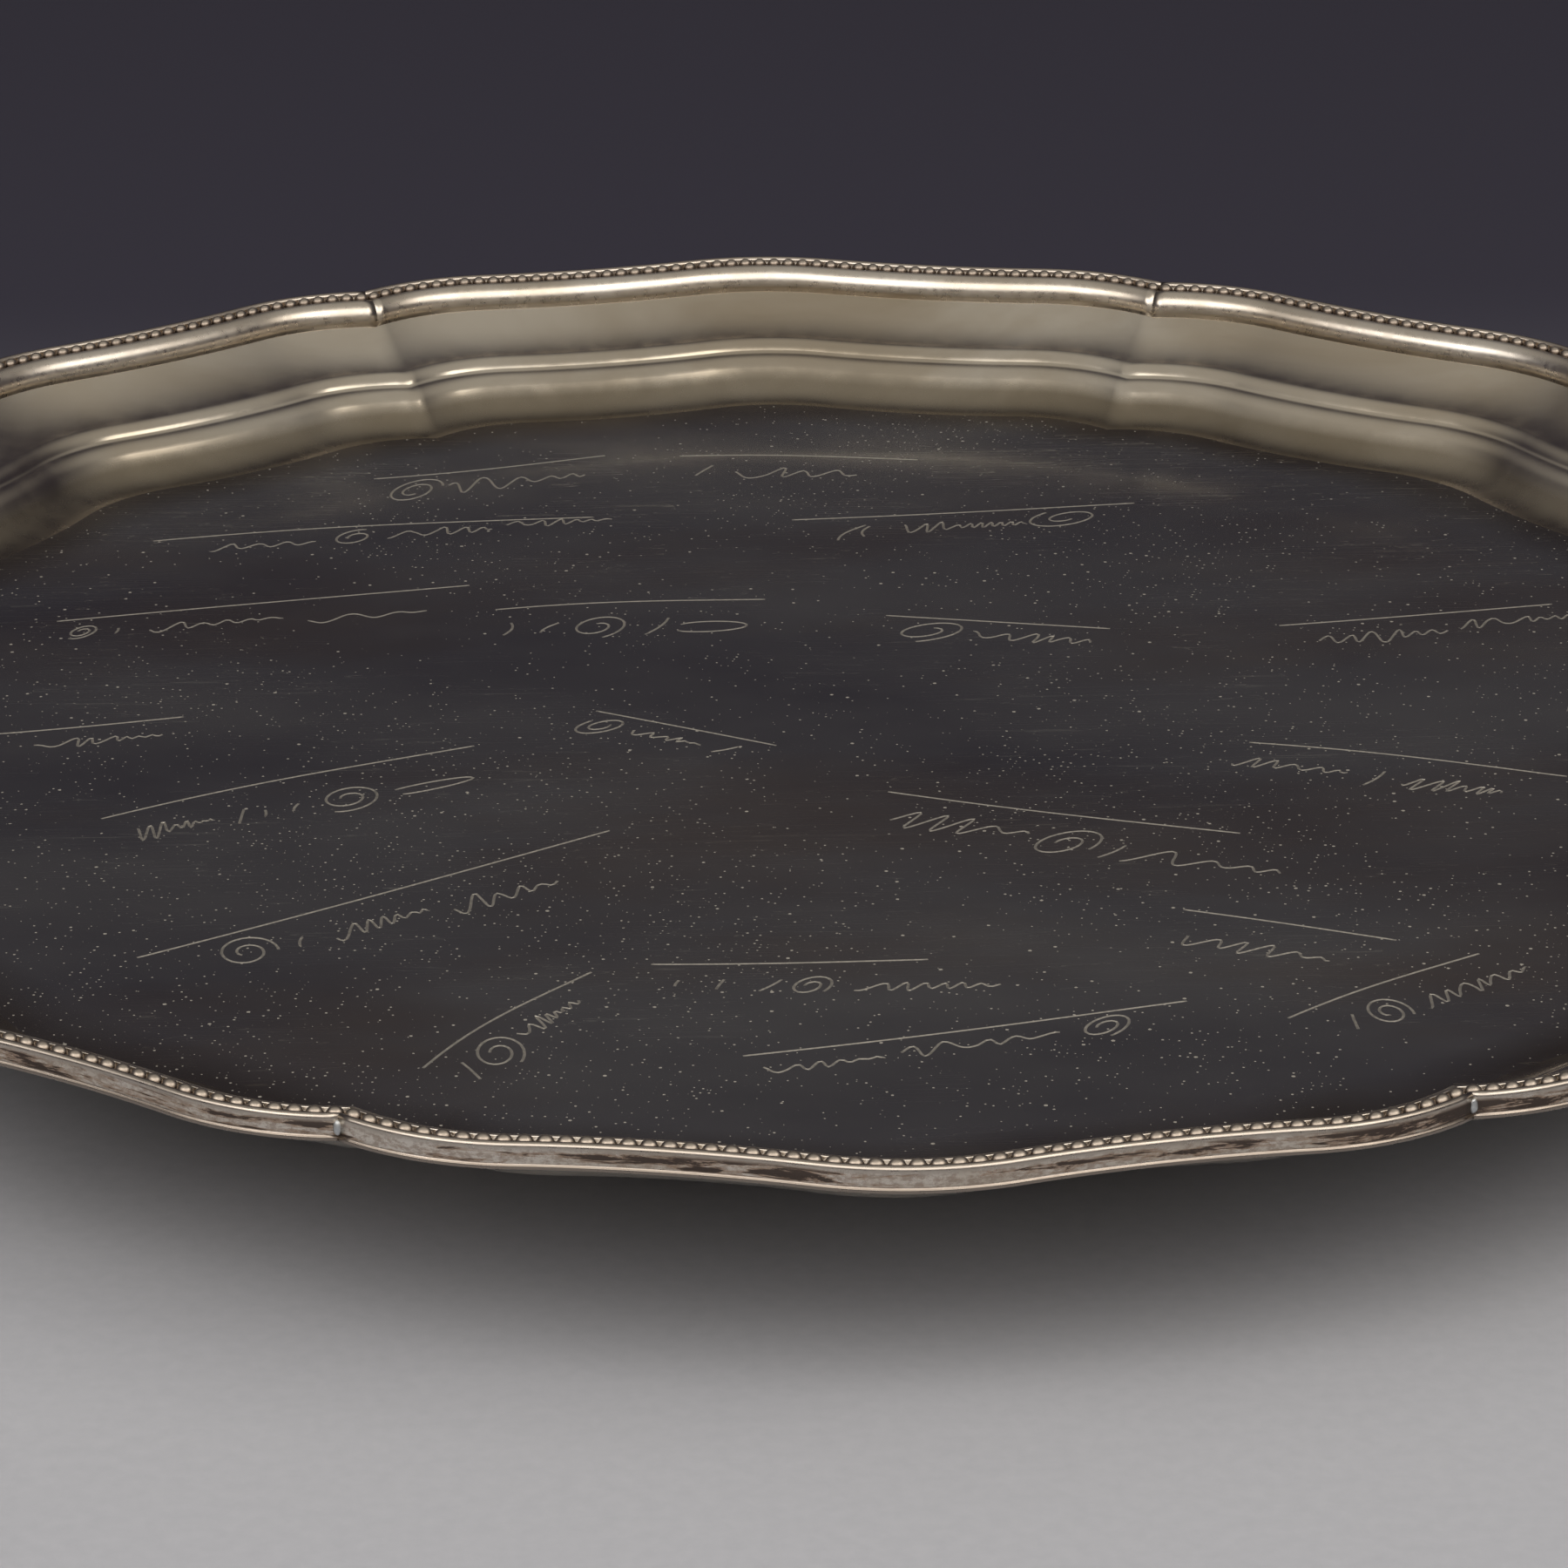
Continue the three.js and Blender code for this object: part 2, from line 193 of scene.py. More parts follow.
def half_section(inset, steps, mitre_clearance=0.0):
    """Half of one section as (across, outward) pairs, from the crest to the mitre."""
    crest_steps, hollow_steps, shoulder_steps = steps
    crest_centre = OUTER_RADIUS - CREST_RADIUS
    crest_to_hollow = CREST_RADIUS + HOLLOW_RADIUS
    hollow_across = crest_to_hollow * math.sin(CREST_TURN)
    hollow_out = crest_centre + crest_to_hollow * math.cos(CREST_TURN)
    hollow_to_shoulder = HOLLOW_RADIUS + SHOULDER_RADIUS
    shoulder_across = hollow_across - hollow_to_shoulder * math.sin(HOLLOW_END_TURN)
    shoulder_out = hollow_out - hollow_to_shoulder * math.cos(HOLLOW_END_TURN)
    centre_to_mitre = shoulder_out * math.sin(HALF_SECTION) - shoulder_across * math.cos(HALF_SECTION)
    shoulder = SHOULDER_RADIUS - inset
    mitre_turn = HALF_SECTION + math.asin((centre_to_mitre - mitre_clearance) / shoulder)

    crest_turns = np.linspace(0, CREST_TURN, crest_steps, endpoint=False)
    hollow_turns = np.linspace(CREST_TURN, HOLLOW_END_TURN, hollow_steps, endpoint=False)
    shoulder_turns = np.linspace(HOLLOW_END_TURN, mitre_turn, shoulder_steps + 1)
    crest = CREST_RADIUS - inset
    hollow = HOLLOW_RADIUS + inset
    across = np.concatenate([
        crest * np.sin(crest_turns),
        hollow_across - hollow * np.sin(hollow_turns),
        shoulder_across + shoulder * np.sin(shoulder_turns),
    ])
    outward = np.concatenate([
        crest_centre + crest * np.cos(crest_turns),
        hollow_out - hollow * np.cos(hollow_turns),
        shoulder_out + shoulder * np.cos(shoulder_turns),
    ])
    return across, outward


def section_outline(section, inset, steps, mitre_clearance=0.0):
    """One section's outline from mitre to mitre, counter-clockwise, as an (n, 2) array."""
    across, outward = half_section(inset, steps, mitre_clearance)
    across = np.concatenate([-across[:0:-1], across])
    outward = np.concatenate([outward[:0:-1], outward])
    angle = 2 * HALF_SECTION * section
    return np.stack([
        outward * math.cos(angle) - across * math.sin(angle),
        outward * math.sin(angle) + across * math.cos(angle),
    ], axis=1)


def ring_outline(inset, steps):
    """The closed outline: square to the edge under the border, then straight to the centre."""
    square_inset = min(inset, BORDER_WIDTH)
    ring = np.concatenate([
        section_outline(section, square_inset, steps)[:-1] for section in range(SECTION_COUNT)
    ])
    radius = np.linalg.norm(ring, axis=1, keepdims=True)
    return ring * (radius - (inset - square_inset)) / radius


# ---------------------------------------------------------------- mesh helpers

def mesh_object(name, points_mm, faces, smooth=True, along=None):
    """A mesh from points in millimetres. along gives each vertex a pair for the "along" UV map."""
    mesh = bpy.data.meshes.new(name)
    mesh.from_pydata((np.asarray(points_mm, float) * MM).tolist(), [], faces)
    if along is not None:
        layer = mesh.uv_layers.new(name="along")
        corners = np.zeros(len(mesh.loops), dtype=np.int64)
        mesh.loops.foreach_get("vertex_index", corners)
        layer.data.foreach_set("uv", np.asarray(along, np.float32)[corners].ravel())
    mesh.polygons.foreach_set("use_smooth", [smooth] * len(mesh.polygons))
    mesh.update()
    piece = bpy.data.objects.new(name, mesh)
    bpy.context.scene.collection.objects.link(piece)
    return piece


def grid_faces(rows, columns, closed_rows=False, closed_columns=False, start=0):
    """Quads between neighbouring rows and columns of a grid stored row by row."""
    faces = []
    for row in range(rows if closed_rows else rows - 1):
        here = start + row * columns
        above = start + (row + 1) % rows * columns
        for column in range(columns if closed_columns else columns - 1):
            after = (column + 1) % columns
            faces.append((here + column, here + after, above + after, above + column))
    return faces


def along_line(points):
    """Distance along a line of points."""
    return np.concatenate([[0], np.cumsum(np.linalg.norm(np.diff(points, axis=0), axis=1))])


def points_at(distances, line):
    """Points at some distances along a line of plan points."""
    distance = along_line(line)
    return np.column_stack([np.interp(distances, distance, line[:, axis]) for axis in (0, 1)])


def turned(angle):
    """Matrix that turns rows of points about Z by an angle, when it multiplies them."""
    cosine, sine = math.cos(angle), math.sin(angle)
    return np.array([[cosine, sine, 0], [-sine, cosine, 0], [0, 0, 1]])


def level_ring(plan, height):
    """Plan points as a ring at one height."""
    return np.column_stack([plan, np.full(len(plan), height)])


# ---------------------------------------------------------------- the raised sheet

def rim_line():
    """The sheet's upper line as rows of inset, drop below the bead tops, and slope."""
    line = [(SHEET_EDGE_INSET, FLANGE_DROP, 0.0)]

    def forward(length, slope):
        inset, drop, _ = line[-1]
        line.append((inset + length * math.cos(slope), drop + length * math.sin(slope), slope))

    def arc(radius, start, end, steps):
        inset, drop, _ = line[-1]
        side = math.copysign(radius, end - start)
        for slope in np.linspace(start, end, steps + 1)[1:]:
            along = side * (math.sin(slope) - math.sin(start))
            down = side * (math.cos(start) - math.cos(slope))
            line.append((inset + along, drop + down, float(slope)))

    forward(FLANGE_WIDTH, 0)
    arc(FLANGE_BEND_RADIUS, 0, UPPER_COVE_START, 6)
    arc(UPPER_COVE_RADIUS, UPPER_COVE_START, UPPER_COVE_END, 12)
    forward(LEDGE_WIDTH, LEDGE_SLOPE)
    arc(UPPER_ROLL_RADIUS, LEDGE_SLOPE, UPPER_ROLL_END, 9)
    arc(GROOVE_RADIUS, UPPER_ROLL_END, GROOVE_END, 6)
    arc(LOWER_ROLL_RADIUS, GROOVE_END, LOWER_ROLL_END, 9)
    arc(LOWER_COVE_RADIUS, LOWER_ROLL_END, 0, 16)
    return line


def sheet_rings(line):
    """Rings of the sheet's skin, from the field out over the rim and back underneath."""
    bead_top = FIELD_HEIGHT + line[-1][1]
    rings = []
    for inset, drop, _ in reversed(line):
        rings.append(level_ring(ring_outline(inset, PLATE_STEPS), bead_top - drop))
    for inset, drop, slope in line:
        plan = ring_outline(inset - SHEET_THICKNESS * math.sin(slope), PLATE_STEPS)
        rings.append(level_ring(plan, bead_top - drop - SHEET_THICKNESS * math.cos(slope)))
    return rings


def make_plate():
    """The whole raised sheet, with the marks cut into its field."""
    line = rim_line()
    rings = sheet_rings(line)
    columns = len(rings[0])
    skin = np.concatenate(rings)
    faces = [face[::-1] for face in grid_faces(len(rings), columns, closed_columns=True)]
    skin_count = len(faces)

    field_points, field_faces, cut = engraved_field(rings[0][:, :2])
    inner_points = field_points[columns:]
    last_ring = len(skin) - columns
    faces += [tuple(i if i < columns else i + last_ring for i in face) for face in field_faces]
    centre = len(skin) + len(inner_points)
    faces += [(centre, last_ring + (i + 1) % columns, last_ring + i) for i in range(columns)]
    points = np.concatenate([skin, inner_points, [[0, 0, SHEET_UNDERSIDE]]])

    row_v = [inset for inset, _, _ in reversed(line)] + [UNDERSIDE_V] * len(line)
    field_radius = np.linalg.norm(rings[0][:, :2], axis=1).mean()
    inward = field_radius - np.linalg.norm(inner_points[:, :2], axis=1)
    field_v = line[-1][0] + np.maximum(inward, 0)
    v = np.concatenate([np.repeat(row_v, columns), field_v, [UNDERSIDE_V]])
    plate = mesh_object("salver_plate", points, faces, along=np.column_stack([np.zeros_like(v), v]))
    materials = [0] * skin_count + [2 if is_cut else 1 for is_cut in cut] + [0] * columns
    smooth = [True] * skin_count + [False] * (len(cut) + columns)
    plate.data.polygons.foreach_set("material_index", materials)
    plate.data.polygons.foreach_set("use_smooth", smooth)
    return plate


# ---------------------------------------------------------------- engraved marks

# Where each mark starts on the field, its direction in degrees and its length.
MARKS = [
    (-81, -66, 33, 65), (-49, -97, 53, 32), (-24, -70, 0, 32), (-15, -95, 14, 52),
    (37, -57, -23, 26), (51, -6, -19, 40), (-101, 3, 12, 24), (-87, -25, 26, 50),
    (-85, 72, 7, 60), (0, 77, 6, 48), (6, -20, -20, 44), (-96, 42, 12, 55),
    (82, -54, 5, 22), (-40, 44, 4, 36), (60, 34, 10, 38), (-14, 104, -5, 34),
    (10, 40, -12, 30), (-56, 96, 15, 34), (45, -88, 35, 30), (92, 2, 60, 24),
    (-28, 8, -30, 26),
]


def wave(rng, length, height):
    """A leaning run of uneven crests that dies away into a flat tail."""
    crests = int(rng.integers(5, 10))
    stops = np.linspace(0, 1, crests)
    t = np.linspace(0, 1, crests * 14)
    phase = 2 * math.pi * crests * np.interp(t, stops, np.cumsum(rng.uniform(0.5, 1.5, crests)) / crests)
    swell = np.interp(t, stops, rng.uniform(0.15, 1.0, crests)) * (1 - 0.75 * t ** 2)
    rise = height * 0.5 * np.sin(phase) * swell
    return np.column_stack([length * t ** 0.85 + 0.45 * rise, rise])


def scroll(rng, width, height):
    """A slanted curl that winds in for a turn and a half or more."""
    t = np.linspace(0, 1, 50)
    angle = 2 * math.pi * rng.uniform(1.5, 2.0) * t + rng.uniform(0, 6.2)
    size = 1.15 * (1 - rng.uniform(0.7, 0.85) * t)
    y = height * 0.5 * size * np.sin(angle)
    x = width * 0.5 * size * np.cos(angle) + rng.uniform(0.2, 0.8) * y
    return np.column_stack([x, y])


def leaf(rng, length, height):
    """A thin lens-shaped leaf drawn in one stroke."""
    t = np.linspace(0, 1, 40)
    x = length * (0.5 - 0.5 * np.cos(2 * math.pi * t)) + rng.uniform(-0.1, 0.1) * length * t
    y = height * 0.5 * np.sin(2 * math.pi * t) + height * rng.uniform(-0.8, 0.8) * t
    return np.column_stack([x, y])


def sweep(length, sag):
    """A long, nearly straight stroke."""
    t = np.linspace(0, 1, 24)
    return np.column_stack([length * t, sag * np.sin(math.pi * t) * (1 - 0.5 * t)])


def hatch(rng, height):
    """One short slanted stroke, a little bowed."""
    t = np.linspace(0, 1, 8)
    lean = rng.uniform(0.3, 0.9)
    bow = rng.uniform(-0.2, 0.2) * height * np.sin(math.pi * t)
    return np.column_stack([height * lean * t + bow, height * (t - 0.5)])


def mark_strokes(seed, x, y, angle, length):
    """One abstract flourish: a long sweep with curls, waves, leaves and hatching under it."""
    rng = np.random.default_rng(seed)
    height = rng.uniform(4.5, 8.0)
    strokes = [sweep(length, rng.uniform(-1.5, 2.0))]
    below = -height * rng.uniform(0.7, 1.0)
    slope = rng.uniform(-0.12, 0.12)
    at = length * rng.uniform(0.0, 0.15)
    curled = False
    while at < length * 0.8:
        kind = rng.choice(["wave", "wave", "leaf", "hatch"] if curled else ["wave", "scroll", "hatch"])
        curled = curled or kind == "scroll"
        if kind == "wave":
            reach = rng.uniform(10, 20)
            stroke = wave(rng, reach, height * rng.uniform(0.5, 0.9))
        elif kind == "scroll":
            reach = height * rng.uniform(0.7, 1.2)
            stroke = scroll(rng, reach, height * rng.uniform(0.8, 1.2)) + [reach * 0.5, 0]
        elif kind == "leaf":
            reach = rng.uniform(6, 11)
            stroke = leaf(rng, reach, height * rng.uniform(0.15, 0.4))
        else:
            reach = 2.5
            stroke = hatch(rng, height * rng.uniform(0.4, 0.9))
        strokes.append(stroke + [at, below + slope * at])
        at += reach + rng.uniform(0.8, 2.5)
    turn = turned(angle * DEGREE)[:2, :2]
    return [stroke @ turn + [x, y] for stroke in strokes]


def even_steps(stroke):
    """The stroke again, with points about STROKE_STEP apart."""
    length = along_line(stroke)[-1]
    return points_at(np.linspace(0, length, max(4, round(length / STROKE_STEP) + 1)), stroke)


def fine_steps(stroke):
    """Points FINE_STEP apart along the stroke, short of its two ends."""
    length = along_line(stroke)[-1]
    return points_at(np.arange(STROKE_STEP, length - STROKE_STEP, FINE_STEP), stroke)


def cut_outline(stroke):
    """The groove's outline, down one side and back up the other, with a point at each end."""
    tangent = np.gradient(stroke, axis=0)
    tangent /= np.linalg.norm(tangent, axis=1, keepdims=True)
    side = CUT_HALF_WIDTH * np.column_stack([-tangent[:, 1], tangent[:, 0]])
    left = (stroke + side)[1:-1]
    right = (stroke - side)[-2:0:-1]
    return np.concatenate([stroke[:1], left, stroke[-1:], right, stroke[:1] + OUTLINE_OPENING])


def distance_finder(strokes):
    """A function that gives the distance from a plan point to the nearest centre line."""
    fine = [point for stroke in strokes for point in fine_steps(stroke)]
    tree = KDTree(len(fine))
    for i, (x, y) in enumerate(fine):
        tree.insert((x, y, 0), i)
    tree.balance()
    return lambda x, y: tree.find((x, y, 0))[2]


def engraved_field(boundary):
    """The flat field inside the boundary ring: points, triangles and which ones are groove."""
    count = len(boundary)
    plan = [tuple(point) for point in boundary]
    edges = []

    def add_line(line):
        first = len(plan)
        plan.extend(map(tuple, line))
        edges.extend((i, i + 1) for i in range(first, first + len(line) - 1))

    marks = [mark_strokes(seed, *mark) for seed, mark in enumerate(MARKS)]
    strokes = [even_steps(stroke) for mark in marks for stroke in mark]
    for stroke in strokes:
        add_line(stroke[1:-1])
        add_line(cut_outline(stroke))

    # The boundary's points keep their places, and the field's own follow them.
    made = delaunay_2d_cdt([Vector(point) for point in plan], edges, [list(range(count))], 1, SAME_POINT)
    points, triangles, origins = made[0], made[2], made[3]
    index = {new: old for new, sources in enumerate(origins) for old in sources if old < count}
    inner = [i for i in range(len(points)) if i not in index]
    index.update({new: count + place for place, new in enumerate(inner)})

    # A groove is deepest on its centre line, and every point that a flat triangle uses is level.
    distance = distance_finder(strokes)
    field = np.zeros((count + len(inner), 3))
    field[:count, :2] = boundary
    field[:, 2] = FIELD_HEIGHT
    for i in inner:
        x, y = points[i]
        sunk = max(0.0, 1 - distance(x, y) / CUT_HALF_WIDTH)
        field[index[i]] = (x, y, FIELD_HEIGHT - CUT_DEPTH * sunk)
    faces = [tuple(index[i] for i in triangle) for triangle in triangles]
    middles = [field[list(face), :2].mean(axis=0) for face in faces]
    cut = [distance(x, y) < CUT_HALF_WIDTH for x, y in middles]
    flat = {i for face, is_cut in zip(faces, cut) if not is_cut for i in face}
    field[list(flat), 2] = FIELD_HEIGHT
    return field, faces, cut


# ---------------------------------------------------------------- the applied border

def border_profile():
    """Cross-section as rows of inset and drop, up the band, over the mouldings and back."""
    lip_top = BAND_HEIGHT - LIP_HEIGHT
    band_bottom = lip_top - LIP_STEP
    band_top = RIDGE_DROP + RIDGE_WIDTH / 2
    rows = [
        (EDGE_EASE, BAND_HEIGHT),
        (0.0, BAND_HEIGHT - EDGE_EASE),
        (0.0, lip_top + EDGE_EASE),
        (LIP_EASE, lip_top),
        (LIP_PROJECTION, band_bottom),
    ]
    for share in np.linspace(0, 1, 9)[1:-1]:
        bulge = BAND_BULGE * math.sin(math.pi * share)
        rows.append((LIP_PROJECTION - bulge, band_bottom + (band_top - band_bottom) * share))
    ridge_radius = RIDGE_WIDTH / 2
    for turn in np.linspace(0, math.pi, 13):
        inset = LIP_PROJECTION + ridge_radius - ridge_radius * math.cos(turn)
        rows.append((inset, band_top - ridge_radius * math.sin(turn)))
    rows += [
        (CHANNEL_START + CHANNEL_LEAN, CHANNEL_DEPTH - CHANNEL_CORNER_RISE),
        (CHANNEL_START + CHANNEL_CORNER, CHANNEL_DEPTH),
        (QUARTER_ROUND_START - CHANNEL_CORNER, CHANNEL_DEPTH),
        (QUARTER_ROUND_START - CHANNEL_LEAN, CHANNEL_DEPTH - CHANNEL_CORNER_RISE),
        (QUARTER_ROUND_START, QUARTER_ROUND_DROP + EDGE_EASE),
        (QUARTER_ROUND_START + LIP_EASE, QUARTER_ROUND_DROP),
    ]
    for turn in np.linspace(4 * DEGREE, math.pi / 2, 14):
        inset = QUARTER_ROUND_START + QUARTER_ROUND_WIDTH * math.sin(turn)
        rise = QUARTER_ROUND_HEIGHT * math.cos(turn)
        rows.append((inset, QUARTER_ROUND_DROP + QUARTER_ROUND_HEIGHT - rise))
    rows.append((BORDER_WIDTH - CHANNEL_LEAN, BORDER_DEPTH + COVE_CLEARANCE - SEAT_GAP))
    bend_inset = SHEET_EDGE_INSET + FLANGE_WIDTH
    bend_drop = FLANGE_DROP + FLANGE_BEND_RADIUS
    radius = FLANGE_BEND_RADIUS + SEAT_GAP
    for turn in np.linspace(UPPER_COVE_START, 0, 6):
        rows.append((bend_inset + radius * math.sin(turn), bend_drop - radius * math.cos(turn)))
    rows.append((REBATE_INSET, FLANGE_DROP - SEAT_GAP))
    rows.append((REBATE_INSET, BAND_HEIGHT))
    return rows


def bead_shell(rings=7, sides=14):
    """A unit bead as points and faces, a sphere with its pole up."""
    points = [(0, 0, 1)]
    for ring in range(1, rings):
        tilt = math.pi * ring / rings
        radius = math.sin(tilt)
        for side in range(sides):
            turn = 2 * math.pi * side / sides
            points.append((radius * math.cos(turn), radius * math.sin(turn), math.cos(tilt)))
    points.append((0, 0, -1))
    faces = [(0, 1 + side, 1 + (side + 1) % sides) for side in range(sides)]
    faces += [face[::-1] for face in grid_faces(rings - 1, sides, closed_columns=True, start=1)]
    last = len(points) - 1
    base = last - sides
    faces += [(last, base + (side + 1) % sides, base + side) for side in range(sides)]
    return np.array(points, float), faces


def end_caps(profile, columns):
    """Triangles that close both ends of a border length swept from a profile."""
    contour = [Vector((-inset, -drop, 0)) for inset, drop in profile]
    last = columns - 1
    faces = []
    for a, b, c in tessellate_polygon([contour]):
        if (contour[b] - contour[a]).cross(contour[c] - contour[a]).z < 0:
            b, c = c, b
        faces.append((a * columns, b * columns, c * columns))
        faces.append((a * columns + last, c * columns + last, b * columns + last))
    return faces


def bead_places(section):
    """Each bead's distance along the section, plan centre and direction, and their pitch."""
    row = section_outline(section, BEAD_ROW_INSET, BEAD_ROW_STEPS)
    pitch = along_line(row)[-1] / BEADS_PER_SECTION
    distances = (np.arange(BEADS_PER_SECTION) + 0.5) * pitch
    centres = points_at(distances, row)
    ahead = points_at(distances + BEAD_AIM, row) - centres
    return distances, centres, np.arctan2(ahead[:, 1], ahead[:, 0]), pitch


def make_border_section(section):
    """One cast length of border with its row of beads, from mitre to mitre."""
    profile = border_profile()
    plans = [section_outline(section, inset, BORDER_STEPS, VISUAL_MITRE_GAP / 2) for inset, _ in profile]
    columns = len(plans[0])
    lines = [level_ring(plan, BEAD_TOP - drop) for plan, (_, drop) in zip(plans, profile)]
    points = list(np.concatenate(lines))
    faces = grid_faces(len(profile), columns, closed_rows=True) + end_caps(profile, columns)
    first_u = section * SECTION_U
    along = [(u, v) for v in along_line(np.array(profile)) for u in along_line(plans[0]) + first_u]

    shell, shell_faces = bead_shell()
    radius = BEAD_DIAMETER / 2
    distances, centres, turns, pitch = bead_places(section)
    half_size = [pitch * BEAD_FILL / 2, radius, radius]
    for distance, centre, turn in zip(distances, centres, turns):
        first = len(points)
        points.extend(shell * half_size @ turned(turn) + [*centre, BEAD_TOP - radius])
        along.extend([(distance + first_u, BEAD_V)] * len(shell))
        faces.extend(tuple(first + i for i in face) for face in shell_faces)
    return mesh_object(f"beaded_border_{section + 1}", points, faces, along=along)


def make_solder(section):
    """A small fillet of solder that fills the notch of a mitre on the band."""
    angle = HALF_SECTION * (2 * section + 1)
    across, outward = half_section(SOLDER_INSET, CUSP_STEPS)
    reach = math.hypot(across[-1], outward[-1])
    shell, faces = bead_shell(rings=12, sides=20)
    rng = np.random.default_rng(section)
    lumps = 1 + SOLDER_LUMPS * np.sin(shell[:, 2:3] * 5 + rng.uniform(0, 6)) * shell[:, :1]
    middle = [reach * math.cos(angle), reach * math.sin(angle), BEAD_TOP - SOLDER_DROP]
    placed = shell * lumps * SOLDER_HALF_SIZE @ turned(angle) + middle
    return mesh_object(f"mitre_solder_{section + 1}", placed, faces)


# ---------------------------------------------------------------- feet

def smooth_between(values, place):
    """Catmull-Rom value at a place between evenly spaced values."""
    i = min(int(place), len(values) - 2)
    t = place - i
    p0, p1 = values[max(i - 1, 0)], values[i]
    p2, p3 = values[i + 1], values[min(i + 2, len(values) - 1)]
    return 0.5 * (2 * p1 + (p2 - p0) * t + (2 * p0 - 5 * p1 + 4 * p2 - p3) * t ** 2
                  + (3 * p1 - p0 - 3 * p2 + p3) * t ** 3)


def foot_rings():
    """Rings of one foot about its own centre, from the pad's solder seam down to the sole."""
    turns = 2 * math.pi * np.arange(FOOT_SIDES) / FOOT_SIDES
    cosines, sines = np.cos(turns), np.sin(turns)
    pad_bottom = FOOT_HEIGHT - PAD_THICKNESS
    pad_rings = [
        (SHEET_UNDERSIDE - SOLDER_SEAM, 1.03),
        (FOOT_HEIGHT, 1.0),
        (pad_bottom + PAD_CHAMFER, 1.0),
        (pad_bottom, 0.97),
    ]
    rings = []
    for height, swell in pad_rings:
        edge = swell * (1 + PAD_SCALLOP_DEPTH * np.cos(PAD_SCALLOPS * turns))
        plan = np.column_stack([PAD_HALF_LENGTH * edge * cosines, PAD_HALF_WIDTH * edge * sines])
        rings.append(level_ring(plan, height))
    for place in np.linspace(0, len(FOOT_STATIONS) - 1, FOOT_LEVELS):
        share, offset, length, width = (smooth_between(column, place) for column in FOOT_STATIONS.T)
        fading = math.exp(-((share - KNEE_SHARE) / KNEE_SPREAD) ** 2)
        flute = 1 + KNEE_FLUTE_DEPTH * np.cos(KNEE_FLUTES * turns) * fading
        plan = np.column_stack([offset + length / 2 * flute * cosines, width / 2 * flute * sines])
        rings.append(level_ring(plan, share * pad_bottom))
    return rings


def make_foot(index):
    """A cast cabriole foot: scalloped pad, fluted knee, thin ankle and round toe."""
    low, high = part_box("foot_1")
    centre = (low.x + high.x) / 2 / MM
    rings = foot_rings()
    points = np.concatenate(rings) + [centre, 0, 0]
    faces = [face[::-1] for face in grid_faces(len(rings), FOOT_SIDES, closed_columns=True)]
    faces.append(tuple(range(FOOT_SIDES)))
    faces.append(tuple(range(len(points) - 1, len(points) - FOOT_SIDES - 1, -1)))
    points = points @ turned(2 * math.pi * index / FOOT_COUNT)
    foot = mesh_object(f"cast_foot_{index + 1}", points, faces)
    for cap in foot.data.polygons[-2:]:
        cap.use_smooth = False
    return foot


# ---------------------------------------------------------------- materials

